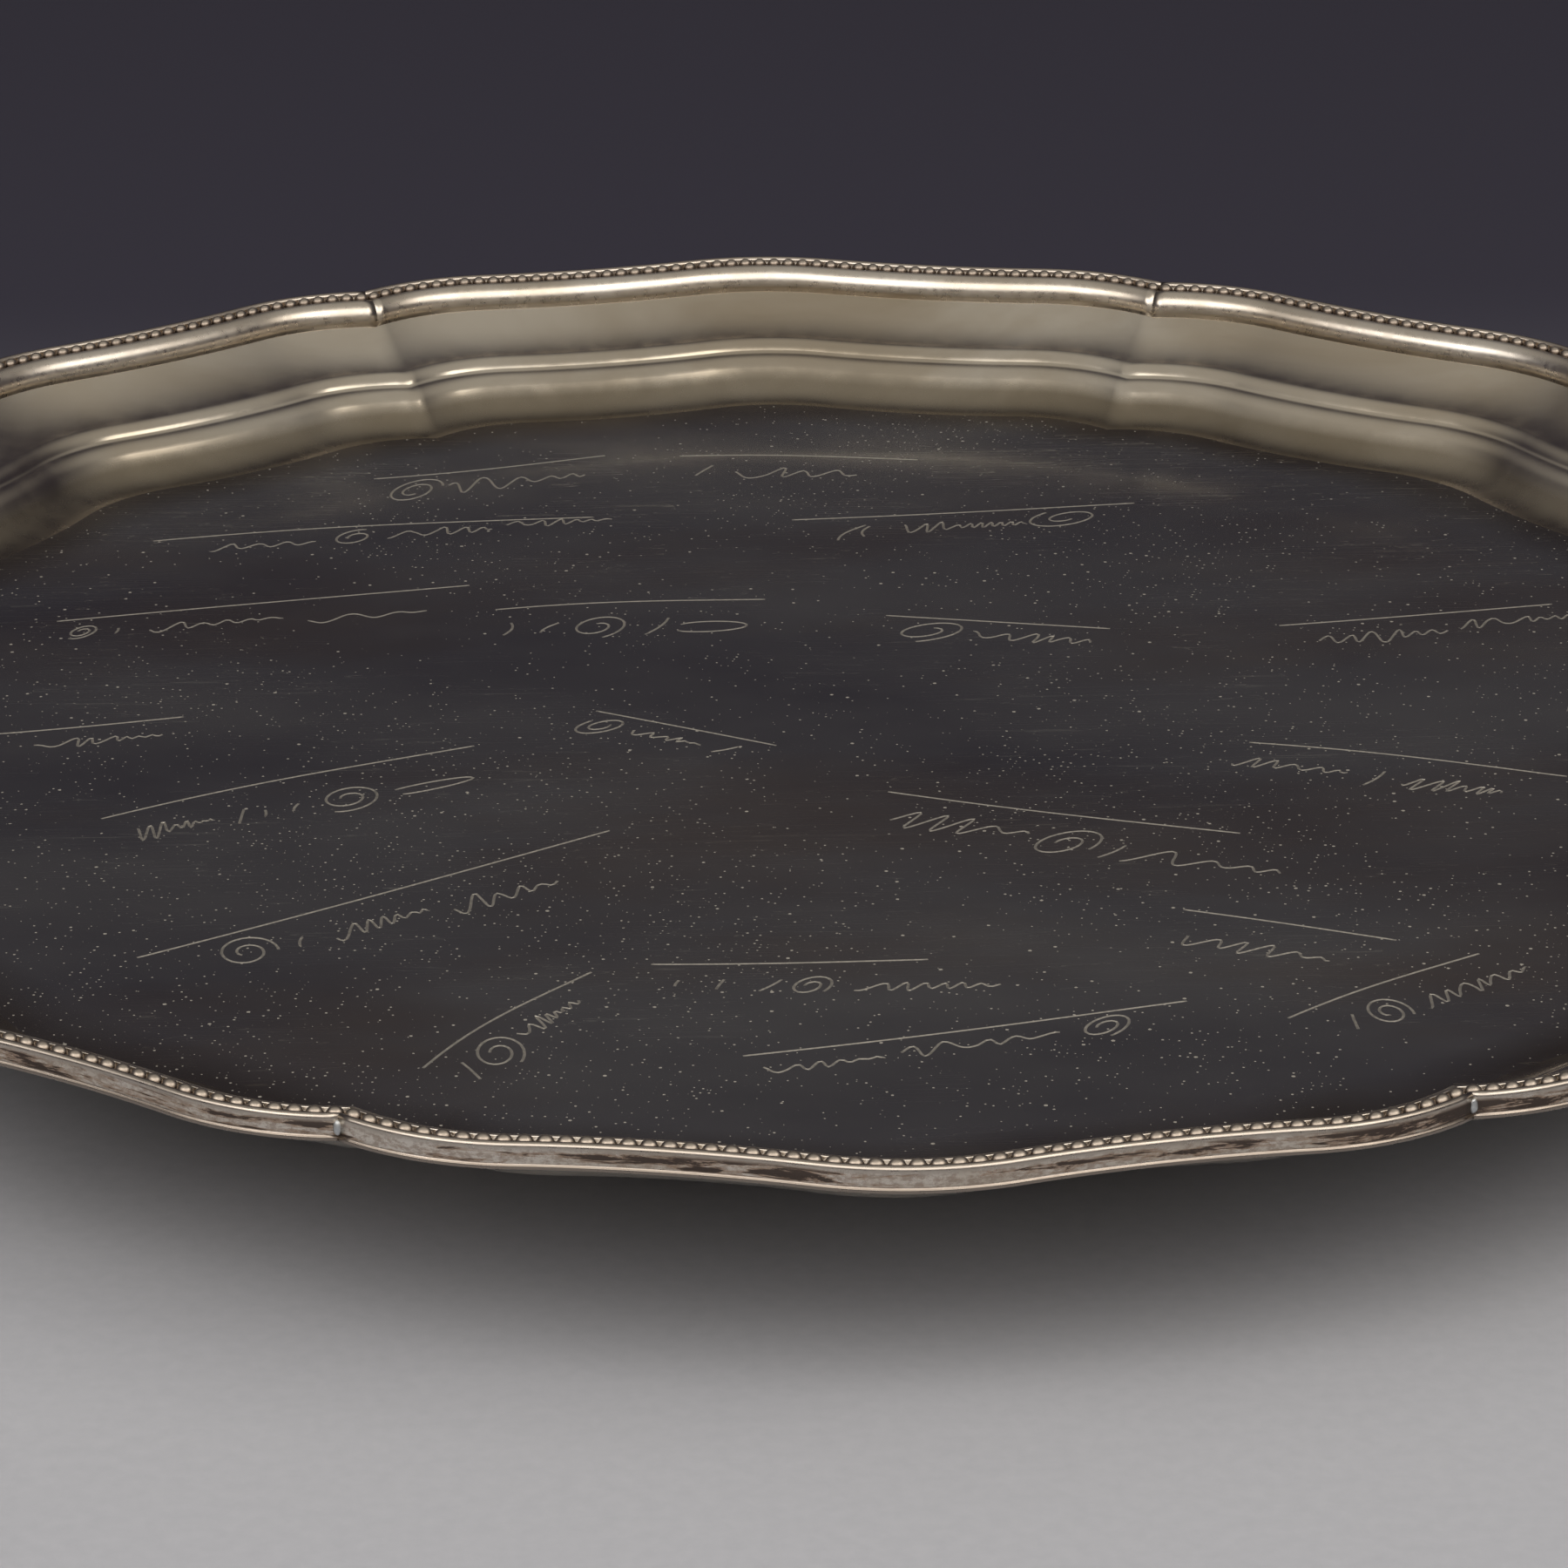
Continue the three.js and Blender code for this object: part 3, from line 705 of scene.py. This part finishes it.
class Graph:
    """Short calls for building one material's nodes."""

    def __init__(self, name):
        self.material = bpy.data.materials.new(name)
        self.material.use_nodes = True
        self.tree = self.material.node_tree
        self.shader = self.tree.nodes["Principled BSDF"]
        self.shader.inputs["Metallic"].default_value = 1.0

    def node(self, kind, settings=(), **inputs):
        made = self.tree.nodes.new(kind)
        for key, value in dict(settings).items():
            setattr(made, key, value)
        for key, value in inputs.items():
            self.set(made.inputs[key.replace("_", " ")], value)
        return made

    def set(self, socket, value):
        if isinstance(value, bpy.types.NodeSocket):
            self.tree.links.new(value, socket)
        else:
            socket.default_value = value

    def place(self, scale, turn=0.0, uv=None):
        """Object coordinates or a UV map, turned about Z and times a scale: a number or three."""
        if uv:
            source = self.node("ShaderNodeUVMap", {"uv_map": uv}).outputs[0]
        else:
            source = self.node("ShaderNodeTexCoord").outputs["Object"]
        mapping = self.node("ShaderNodeMapping", Vector=source)
        mapping.inputs["Scale"].default_value = scale if isinstance(scale, tuple) else (scale,) * 3
        mapping.inputs["Rotation"].default_value = (0, 0, turn)
        return mapping.outputs[0]

    def noise(self, where, scale=1.0, detail=4.0, roughness=0.55, distortion=0.0, dimensions="3D"):
        made = self.node("ShaderNodeTexNoise", {"noise_dimensions": dimensions}, Vector=where,
                         Scale=scale, Detail=detail, Roughness=roughness, Distortion=distortion)
        return made.outputs["Fac"]

    def ramp(self, value, *stops):
        """A colour ramp; each stop is a position and a grey level or a colour."""
        made = self.node("ShaderNodeValToRGB", Fac=value)
        elements = made.color_ramp.elements
        while len(elements) < len(stops):
            elements.new(0.5)
        for element, (position, colour) in zip(elements, stops):
            element.position = position
            if not hasattr(colour, "__len__"):
                colour = (colour, colour, colour)
            element.color = (*colour, 1.0)
        return made.outputs["Color"]

    def ramp_mm(self, distance, span, *stops):
        """A ramp whose stops are distances in millimetres, up to a span."""
        shares = [(place / span, level) for place, level in stops]
        return self.ramp(self.math("DIVIDE", distance, span), *shares)

    def mix(self, factor, first, second):
        made = self.node("ShaderNodeMix", {"data_type": "RGBA"})
        self.set(made.inputs[0], factor)
        for socket, value in ((made.inputs[6], first), (made.inputs[7], second)):
            self.set(socket, value if isinstance(value, bpy.types.NodeSocket) else (*value, 1.0))
        return made.outputs[2]

    def math(self, operation, first, second=0.0):
        made = self.node("ShaderNodeMath", {"operation": operation})
        self.set(made.inputs[0], first)
        self.set(made.inputs[1], second)
        return made.outputs[0]

    def bump(self, height, distance_mm, strength=1.0, normal=None):
        made = self.node("ShaderNodeBump", Height=height, Distance=distance_mm * MM, Strength=strength)
        if normal is not None:
            self.set(made.inputs["Normal"], normal)
        return made.outputs[0]

    def finish(self, **sockets):
        for key, value in sockets.items():
            if isinstance(value, tuple) and len(value) == 3:
                value = (*value, 1.0)
            self.set(self.shader.inputs[key.replace("_", " ")], value)
        return self.material


# Colours, in linear light.
FIELD_SILVER = (0.58, 0.58, 0.53)
FIELD_SMUDGE = (0.52, 0.455, 0.375)
BROWN_FILM = (0.29, 0.245, 0.18)
DUST_GREY = (0.34, 0.32, 0.28)
CUT_SHADE = (0.46, 0.44, 0.39)
CUT_BRIGHT = (0.70, 0.66, 0.59)
RIM_SILVER = (0.74, 0.68, 0.58)
RIM_FILM = (0.50, 0.42, 0.31)
BORDER_SILVER = (0.74, 0.68, 0.60)
BORDER_FILM = (0.52, 0.44, 0.34)
BROWN_MOTTLE = (0.34, 0.25, 0.19)
COPPER_STAIN = (0.42, 0.29, 0.20)
BLACK_STAIN = (0.06, 0.048, 0.045)
# Painted shade: the lip and ridge tints darken those places to dim their highlights.
LIP_PAINTED_SHADE = (0.30, 0.255, 0.215)
RIDGE_PAINTED_SHADE = (0.43, 0.375, 0.32)
# A darker tone in the channel that the beads sit in.
CHANNEL_DARKER = (0.20, 0.16, 0.13)
BEAD_GREY = (0.48, 0.42, 0.355)
# Painted shade on the lower sides and undersides of the beads.
BEAD_SIDE_PAINTED_SHADE = (0.25, 0.20, 0.16)
SOLDER_SHADE = (0.42, 0.44, 0.45)
SOLDER_BRIGHT = (0.66, 0.67, 0.66)
FOOT_SILVER = (0.80, 0.74, 0.65)
FOOT_FILM = (0.60, 0.50, 0.38)
DARK_SULPHIDE = (0.035, 0.030, 0.026)
PAPER_SHADE = (0.42, 0.43, 0.465)
PAPER_PALE = (0.49, 0.50, 0.535)
# Painted shade: the floor's far side, dark where the light falls off behind the salver.
PAPER_PAINTED_FALLOFF = (0.051, 0.048, 0.068)
ROOM_DARK = (0.040, 0.036, 0.046)
ROOM_GLOW = (0.42, 0.40, 0.37)

# Distances across, in millimetres, that the ramps of the plate and the border span.
PLATE_SPAN = 50.0
BORDER_SPAN = 10.0


def across(graph):
    """Distance across the piece in millimetres, from its "along" UV map."""
    pair = graph.node("ShaderNodeUVMap", {"uv_map": "along"}).outputs[0]
    return graph.node("ShaderNodeSeparateXYZ", Vector=pair).outputs[1]


def brown_film(graph):
    """Mask of the film that polishing misses: the lower cove and the edge of the field."""
    zone = graph.ramp_mm(across(graph), PLATE_SPAN, (19.25, 0.0), (21, 1.0), (28, 1.0), (35, 0.0))
    cloud = graph.noise(graph.place(28), detail=5.0, distortion=0.4)
    return graph.math("MULTIPLY", zone, graph.ramp(cloud, (0.30, 0.65), (0.62, 1.0)))


def hairlines(graph, spacing_mm, length_mm, turns, width):
    """Fine scratches in a few directions, broken into stretches, as a mask."""
    total = None
    for order, turn in enumerate(turns):
        where = graph.place((1000 / length_mm, 1000 / spacing_mm, 1), turn * DEGREE)
        level = graph.noise(where, 1.0, detail=1.0, roughness=0.4, dimensions="2D")
        line = graph.math("ABSOLUTE", graph.math("SUBTRACT", level, 0.5))
        mask = graph.math("LESS_THAN", line, width)
        patch = graph.noise(graph.place((30, 45, 30), order + 0.3), 1.0, detail=1.0)
        mask = graph.math("MULTIPLY", mask, graph.math("GREATER_THAN", patch, 0.60))
        total = mask if total is None else graph.math("MAXIMUM", total, mask)
    return total


def dust(graph, cell_mm, size, turn):
    """Small specks that gather in drifts on the flat field, as a mask."""
    where = graph.place(1000 / cell_mm, turn)
    cells = graph.node("ShaderNodeTexVoronoi", {"voronoi_dimensions": "2D"}, Vector=where, Scale=1.0)
    pick = graph.node("ShaderNodeSeparateColor", Color=cells.outputs["Color"])
    radius = graph.math("MULTIPLY", graph.math("POWER", pick.outputs[1], 3.0), size)
    near = graph.math("LESS_THAN", cells.outputs["Distance"], radius)
    drift = graph.noise(graph.place(24, turn), detail=4.0)
    share = graph.ramp(drift, (0.38, 0.05), (0.68, 0.75))
    chosen = graph.math("LESS_THAN", pick.outputs[0], share)
    return graph.math("MULTIPLY", near, chosen)


def dished_edge(graph):
    """Normal of a field that rises a little towards its edge, as a hammered one does."""
    flat = graph.node("ShaderNodeVectorMath", {"operation": "MULTIPLY"})
    graph.set(flat.inputs[0], graph.node("ShaderNodeTexCoord").outputs["Object"])
    flat.inputs[1].default_value = (1, 1, 0)
    radius = graph.node("ShaderNodeVectorMath", {"operation": "LENGTH"})
    graph.set(radius.inputs[0], flat.outputs[0])
    share = graph.node("ShaderNodeMapRange", Value=radius.outputs["Value"])
    share.inputs["From Min"].default_value = DISH_START * MM
    share.inputs["From Max"].default_value = (DISH_START + DISH_WIDTH) * MM
    return graph.bump(graph.math("POWER", share.outputs[0], 2.0), DISH_RISE)


def field_silver():
    """Mirror-polished field with haze, brown smudges, hairlines and dust."""
    graph = Graph("field_silver")
    cloud = graph.noise(graph.place((11, 30, 11)), detail=6.0, roughness=0.6, distortion=0.4)
    smudge = graph.ramp(graph.noise(graph.place((9, 20, 9), 0.4), detail=5.0), (0.50, 0.0), (0.70, 1.0))
    film = brown_film(graph)
    scratches = hairlines(graph, 1.4, 38, (4, -14, 27), 0.003)
    specks = graph.math("MAXIMUM", dust(graph, 2.3, 0.10, 0.5), dust(graph, 0.9, 0.17, 1.9))
    veil = graph.ramp(graph.noise(graph.place((14, 20, 14), 1.1), detail=5.0), (0.30, 0.0), (0.75, 0.06))
    tint = graph.mix(smudge, FIELD_SILVER, FIELD_SMUDGE)
    colour = graph.mix(film, tint, BROWN_FILM)
    colour = graph.mix(specks, colour, DUST_GREY)
    haze = graph.ramp(cloud, (0.35, 0.09), (0.70, 0.20))
    rough = graph.math("MAXIMUM", haze, graph.math("MULTIPLY", scratches, 0.30))
    rough = graph.math("ADD", rough, graph.math("MULTIPLY", film, 0.03))
    rough = graph.math("MAXIMUM", rough, graph.math("MULTIPLY", specks, 0.8))
    metal = graph.math("SUBTRACT", 1.0, graph.math("MAXIMUM", veil, graph.math("MULTIPLY", specks, 0.9)))
    waves = graph.noise(graph.place(26), detail=2.0)
    normal = graph.bump(waves, 0.010, normal=dished_edge(graph))
    return graph.finish(Base_Color=colour, Roughness=rough, Metallic=metal, Normal=normal)


def cut_silver():
    """Walls of the engraved grooves: matt metal, paler than the mirror round it."""
    graph = Graph("cut_silver")
    grain = graph.noise(graph.place(2400), detail=3.0)
    colour = graph.mix(grain, CUT_SHADE, CUT_BRIGHT)
    rough = graph.ramp(grain, (0.3, 0.42), (0.7, 0.62))
    return graph.finish(Base_Color=colour, Roughness=rough, Normal=graph.bump(grain, 0.02))


def rim_silver():
    """Hammered and polished coves, warmed by a thin film."""
    graph = Graph("rim_silver")
    cloud = graph.noise(graph.place((22, 22, 60)), detail=6.0, distortion=0.5)
    fine = graph.noise(graph.place(260), detail=5.0)
    film = brown_film(graph)
    colour = graph.mix(graph.ramp(cloud, (0.35, 0.0), (0.75, 1.0)), RIM_SILVER, RIM_FILM)
    colour = graph.mix(film, colour, BROWN_FILM)
    rough = graph.ramp(fine, (0.3, 0.14), (0.75, 0.26))
    rough = graph.math("ADD", rough, graph.math("MULTIPLY", film, 0.10))
    blows = graph.bump(graph.noise(graph.place(38), detail=2.0), 0.09)
    return graph.finish(Base_Color=colour, Roughness=rough, Normal=graph.bump(fine, 0.003, normal=blows))


def border_silver():
    """Worn border: grey-brown film, ragged dark patches along the band, a darker channel round the beads,
    and painted shade on the lip, the ridge and the lower sides of the beads.
    """
    graph = Graph("border_silver")
    around = across(graph)
    on_band = graph.ramp_mm(around, BORDER_SPAN, (0.6, 0.0), (0.85, 1.0), (2.1, 1.0), (2.55, 0.0))
    on_lip = graph.ramp_mm(around, BORDER_SPAN, (0.6, 1.0), (0.85, 0.0))
    on_ridge = graph.ramp_mm(around, BORDER_SPAN, (2.2, 0.0), (2.7, 0.8), (3.7, 0.8), (4.0, 0.0))
    in_channel = graph.ramp_mm(around, BORDER_SPAN, (4.2, 0.0), (4.5, 1.0), (6.2, 1.0), (6.5, 0.0))
    on_bead = graph.math("GREATER_THAN", around, ON_BEAD_FROM)
    normal = graph.node("ShaderNodeNewGeometry").outputs["Normal"]
    upward = graph.node("ShaderNodeSeparateXYZ", Vector=normal).outputs[2]
    # Painted shade: each bead darkens as its normal turns from up towards the side and below.
    bead_side_shade = graph.math("MULTIPLY", on_bead, graph.ramp(upward, (0.35, 1.0), (0.85, 0.0)))

    patches = graph.noise(graph.place((0.10, 0.9, 1), uv="along"), 1.0, detail=9.0, roughness=0.68,
                          distortion=0.3, dimensions="2D")
    reach = graph.noise(graph.place((0.022, 0.05, 1), uv="along"), 1.0, detail=1.0, dimensions="2D")
    patches = graph.math("ADD", patches, graph.math("MULTIPLY", graph.math("SUBTRACT", reach, 0.5), 0.45))
    speckle = graph.noise(graph.place((0.9, 1.7, 1), uv="along"), 1.0, detail=7.0, roughness=0.7,
                          dimensions="2D")
    dark = graph.math("MULTIPLY", graph.ramp(patches, (0.53, 0.0), (0.57, 0.9)), on_band)
    copper = graph.math("MULTIPLY", graph.ramp(patches, (0.47, 0.0), (0.53, 0.8)), on_band)
    mottle = graph.math("MULTIPLY", graph.ramp(speckle, (0.43, 0.0), (0.58, 0.65)), on_band)
    film = graph.ramp(graph.noise(graph.place((60, 60, 200)), detail=4.0), (0.40, 0.0), (0.70, 0.8))
    fine = graph.noise(graph.place(900), detail=4.0)

    colour = graph.mix(film, BORDER_SILVER, BORDER_FILM)
    layers = [
        (mottle, BROWN_MOTTLE),
        (copper, COPPER_STAIN),
        (dark, BLACK_STAIN),
        # Painted shade: the lip and the ridge are darkened to dim their highlights.
        (on_lip, LIP_PAINTED_SHADE),
        (on_ridge, RIDGE_PAINTED_SHADE),
        # Darker in the channel round the beads.
        (in_channel, CHANNEL_DARKER),
        (on_bead, BEAD_GREY),
        # Painted shade on the lower sides of each bead.
        (bead_side_shade, BEAD_SIDE_PAINTED_SHADE),
    ]
    for mask, tint in layers:
        colour = graph.mix(mask, colour, tint)
    rough = graph.ramp(fine, (0.3, 0.24), (0.7, 0.36))
    rough = graph.math("ADD", rough, graph.math("MULTIPLY", dark, 0.25))
    rough = graph.math("ADD", rough, graph.math("MULTIPLY", on_bead, 0.08))
    return graph.finish(Base_Color=colour, Roughness=rough, Normal=graph.bump(fine, 0.002))


def solder_grey():
    """Dull, slightly blue solder."""
    graph = Graph("solder_grey")
    grain = graph.noise(graph.place(1800), detail=4.0)
    colour = graph.mix(grain, SOLDER_SHADE, SOLDER_BRIGHT)
    rough = graph.ramp(grain, (0.3, 0.35), (0.7, 0.6))
    return graph.finish(Base_Color=colour, Roughness=rough, Normal=graph.bump(grain, 0.05))


def foot_silver():
    """Cast silver with tarnish in its hollows."""
    graph = Graph("foot_silver")
    cloud = graph.noise(graph.place(160), detail=6.0)
    cavity = graph.node("ShaderNodeNewGeometry").outputs["Pointiness"]
    hollow = graph.ramp(cavity, (0.44, 1.0), (0.52, 0.0))
    tarnish = graph.math("MULTIPLY", hollow, graph.ramp(cloud, (0.3, 0.4), (0.7, 1.0)))
    colour = graph.mix(graph.ramp(cloud, (0.4, 0.0), (0.75, 1.0)), FOOT_SILVER, FOOT_FILM)
    colour = graph.mix(tarnish, colour, DARK_SULPHIDE)
    rough = graph.ramp(cloud, (0.3, 0.2), (0.7, 0.38))
    return graph.finish(Base_Color=colour, Roughness=rough, Normal=graph.bump(cloud, 0.03))


# ---------------------------------------------------------------- stage, lights and camera

# The floor, and where painted shade darkens it along Y to stand for light that falls off behind the
# salver, in metres.
FLOOR_HALF_SIZE = 4.0
FLOOR_PALE_TO = -0.10
FLOOR_DARK_FROM = 0.24

# Softboxes: name, azimuth and elevation in degrees, distance and size in metres, watts, colour.
SOFTBOXES = [
    ("front_softbox", -90, 52, 1.2, (1.8, 0.5), 5.0, (1.0, 0.96, 0.91)),
    ("low_front_softbox", -90, 32, 1.25, (1.8, 0.45), 4.6, (1.0, 0.96, 0.92)),
    ("front_right_softbox", -32, 46, 1.1, (0.6, 0.6), 2.1, (1.0, 0.94, 0.86)),
    ("front_left_softbox", -146, 38, 1.1, (0.7, 0.5), 2.2, (1.0, 0.96, 0.92)),
]

# The room's glow: its middle, and the cosines from that direction where it starts and is full.
GLOW_DIRECTION = (0, -0.17, 1)
GLOW_START = 0.37
GLOW_FULL = 0.91

# The camera: millimetres from the centre and above the bead tops, and the lens.
CAMERA_DISTANCE = 683.8
CAMERA_ABOVE = 255.1
CAMERA_BEARING = -93.694 * DEGREE
CAMERA_HEADING = 86.702 * DEGREE
CAMERA_TIP = 21.996 * DEGREE
CAMERA_ROLL = 0.32 * DEGREE
CAMERA_SENSOR = 36
CAMERA_LENS = 138.16


def floor_paper():
    """Pale paper with painted shade that darkens it behind the salver, where the light falls off."""
    graph = Graph("floor_paper")
    where = graph.node("ShaderNodeTexCoord").outputs["Object"]
    depth = graph.node("ShaderNodeSeparateXYZ", Vector=where).outputs[1]
    back = graph.node("ShaderNodeMapRange", {"interpolation_type": "SMOOTHSTEP"}, Value=depth)
    back.inputs["From Min"].default_value = FLOOR_PALE_TO
    back.inputs["From Max"].default_value = FLOOR_DARK_FROM
    fibre = graph.noise(graph.place(500), detail=5.0)
    pale = graph.mix(fibre, PAPER_SHADE, PAPER_PALE)
    # Painted shade: the paper turns dark towards the back, for light that falls off there.
    colour = graph.mix(back.outputs[0], pale, PAPER_PAINTED_FALLOFF)
    graph.shader.inputs["Metallic"].default_value = 0.0
    graph.shader.inputs["Specular IOR Level"].default_value = 0.1
    return graph.finish(Base_Color=colour, Roughness=0.85, Normal=graph.bump(fibre, 0.02))


def make_floor():
    corners = np.array([(-1, -1, 0), (1, -1, 0), (1, 1, 0), (-1, 1, 0)]) * FLOOR_HALF_SIZE
    floor = mesh_object("floor", corners / MM, [(0, 1, 2, 3)], smooth=False)
    floor.data.materials.append(floor_paper())


def aimed_light(name, azimuth, elevation, distance, size, power, colour):
    """A soft rectangular light that looks at the salver from a direction in degrees."""
    level = distance * math.cos(elevation * DEGREE)
    place = Vector((level * math.cos(azimuth * DEGREE), level * math.sin(azimuth * DEGREE),
                    distance * math.sin(elevation * DEGREE)))
    light = bpy.data.lights.new(name, "AREA")
    light.shape = "RECTANGLE"
    light.size, light.size_y = size
    light.energy = power
    light.color = colour
    lamp = bpy.data.objects.new(name, light)
    bpy.context.scene.collection.objects.link(lamp)
    lamp.location = place
    lamp.rotation_mode = "QUATERNION"
    lamp.rotation_quaternion = (-place).to_track_quat("-Z", "Y")


def make_world():
    """A dark room with a soft glow overhead."""
    world = bpy.data.worlds.new("studio")
    world.use_nodes = True
    tree = world.node_tree
    direction = tree.nodes.new("ShaderNodeTexCoord").outputs["Generated"]
    facing = tree.nodes.new("ShaderNodeVectorMath")
    facing.operation = "DOT_PRODUCT"
    facing.inputs[1].default_value = Vector(GLOW_DIRECTION).normalized()
    glow = tree.nodes.new("ShaderNodeMapRange")
    glow.interpolation_type = "SMOOTHSTEP"
    glow.inputs["From Min"].default_value = GLOW_START
    glow.inputs["From Max"].default_value = GLOW_FULL
    mix = tree.nodes.new("ShaderNodeMix")
    mix.data_type = "RGBA"
    mix.inputs[6].default_value = (*ROOM_DARK, 1)
    mix.inputs[7].default_value = (*ROOM_GLOW, 1)
    tree.links.new(direction, facing.inputs[0])
    tree.links.new(facing.outputs["Value"], glow.inputs["Value"])
    tree.links.new(glow.outputs[0], mix.inputs[0])
    tree.links.new(mix.outputs[2], tree.nodes["Background"].inputs["Color"])
    bpy.context.scene.world = world


def make_lights():
    for softbox in SOFTBOXES:
        aimed_light(*softbox)
    bpy.context.scene.view_settings.view_transform = "Standard"


def make_camera():
    """A long lens in front of the salver, a little to the left and tipped down."""
    camera_data = bpy.data.cameras.new("camera")
    camera_data.sensor_width = CAMERA_SENSOR
    camera_data.lens = CAMERA_LENS
    camera_data.clip_start, camera_data.clip_end = 0.01, 20
    camera = bpy.data.objects.new("camera", camera_data)
    bpy.context.scene.collection.objects.link(camera)
    facing = Vector((math.cos(CAMERA_HEADING), math.sin(CAMERA_HEADING), 0))
    ahead = facing * math.cos(CAMERA_TIP) - Vector((0, 0, math.sin(CAMERA_TIP)))
    level = Vector((facing.y, -facing.x, 0))
    upward = level.cross(ahead)
    right = level * math.cos(CAMERA_ROLL) + upward * math.sin(CAMERA_ROLL)
    up = upward * math.cos(CAMERA_ROLL) - level * math.sin(CAMERA_ROLL)
    turn = Matrix((right, up, -ahead)).transposed().to_4x4()
    spot = Vector((
        CAMERA_DISTANCE * math.cos(CAMERA_BEARING),
        CAMERA_DISTANCE * math.sin(CAMERA_BEARING),
        BEAD_TOP + CAMERA_ABOVE,
    )) * MM
    camera.matrix_world = Matrix.Translation(spot) @ turn
    bpy.context.scene.camera = camera


# ---------------------------------------------------------------- assembly

def assemble():
    plate = make_plate()
    for material in (rim_silver(), field_silver(), cut_silver()):
        plate.data.materials.append(material)
    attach(plate, "root")
    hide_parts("plate")

    border_material, solder_material = border_silver(), solder_grey()
    for section in range(SECTION_COUNT):
        border = make_border_section(section)
        border.data.materials.append(border_material)
        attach(border, "root")
        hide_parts(f"border_section_{section + 1}")
        solder = make_solder(section)
        solder.data.materials.append(solder_material)
        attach(solder, "root")

    foot_material = foot_silver()
    for index in range(FOOT_COUNT):
        foot = make_foot(index)
        foot.data.materials.append(foot_material)
        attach(foot, "root")
        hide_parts(f"foot_{index + 1}")


make_camera()
make_floor()
make_world()
make_lights()
assemble()
